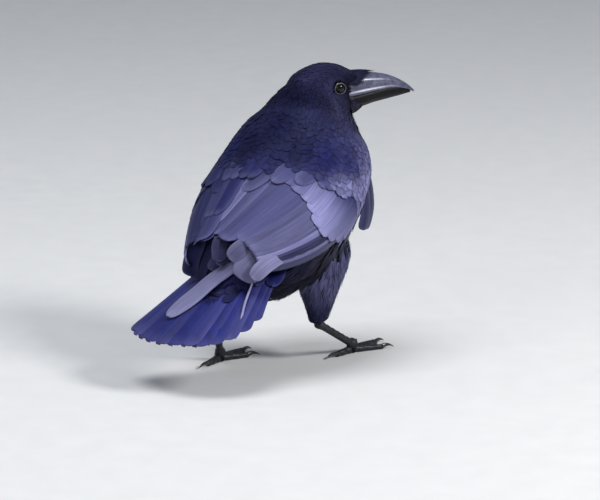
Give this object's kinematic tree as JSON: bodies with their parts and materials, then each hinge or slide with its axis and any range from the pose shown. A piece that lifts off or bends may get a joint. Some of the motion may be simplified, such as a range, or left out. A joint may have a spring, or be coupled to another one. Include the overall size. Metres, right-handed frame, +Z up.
{
  "type": "carrion crow model",
  "caption": "Life-size still model of a carrion crow standing with one foot forward, tail fanned and head turned to its right",
  "frame": {"origin": "middle of the model's box, on the floor that the soles stand on", "axes": "+X is the way the body heads, from tail to breast; +Y is the bird's left side; +Z is up"},
  "size_m": [0.2774, 0.1368, 0.2343],
  "materials": {
    "head_plumage": "satin black feathers with a faint blue sheen",
    "body_plumage": "black feathers with a blue-violet gloss, duller on the belly",
    "wing_plumage": "worn grey-violet black feathers",
    "tail_plumage": "glossy indigo-black feathers",
    "bill_horn": "smooth grey-black horn",
    "leg_scales": "satin black scales",
    "claw_horn": "smooth black horn",
    "eye": "wet dark brown"
  },
  "bodies": {
    "root": {"bill_lower": "bill_horn", "bill_upper": "bill_horn", "claw_hind_left": "claw_horn", "claw_hind_right": "claw_horn", "claw_inner_left": "claw_horn", "claw_inner_right": "claw_horn", "claw_middle_left": "claw_horn", "claw_middle_right": "claw_horn", "claw_outer_left": "claw_horn", "claw_outer_right": "claw_horn", "eye_left": "eye", "eye_right": "eye", "foot_left": "leg_scales", "foot_right": "leg_scales", "head": "head_plumage", "neck": "head_plumage", "shank_left": "leg_scales", "shank_right": "leg_scales", "tail": "tail_plumage", "thigh_left": "body_plumage", "thigh_right": "body_plumage", "trunk": "body_plumage", "wing_coverts_left": "wing_plumage", "wing_coverts_right": "wing_plumage", "wing_primaries_left": "wing_plumage", "wing_primaries_right": "wing_plumage", "wing_tertials_left": "wing_plumage", "wing_tertials_right": "wing_plumage"}
  },
  "joints": []
}
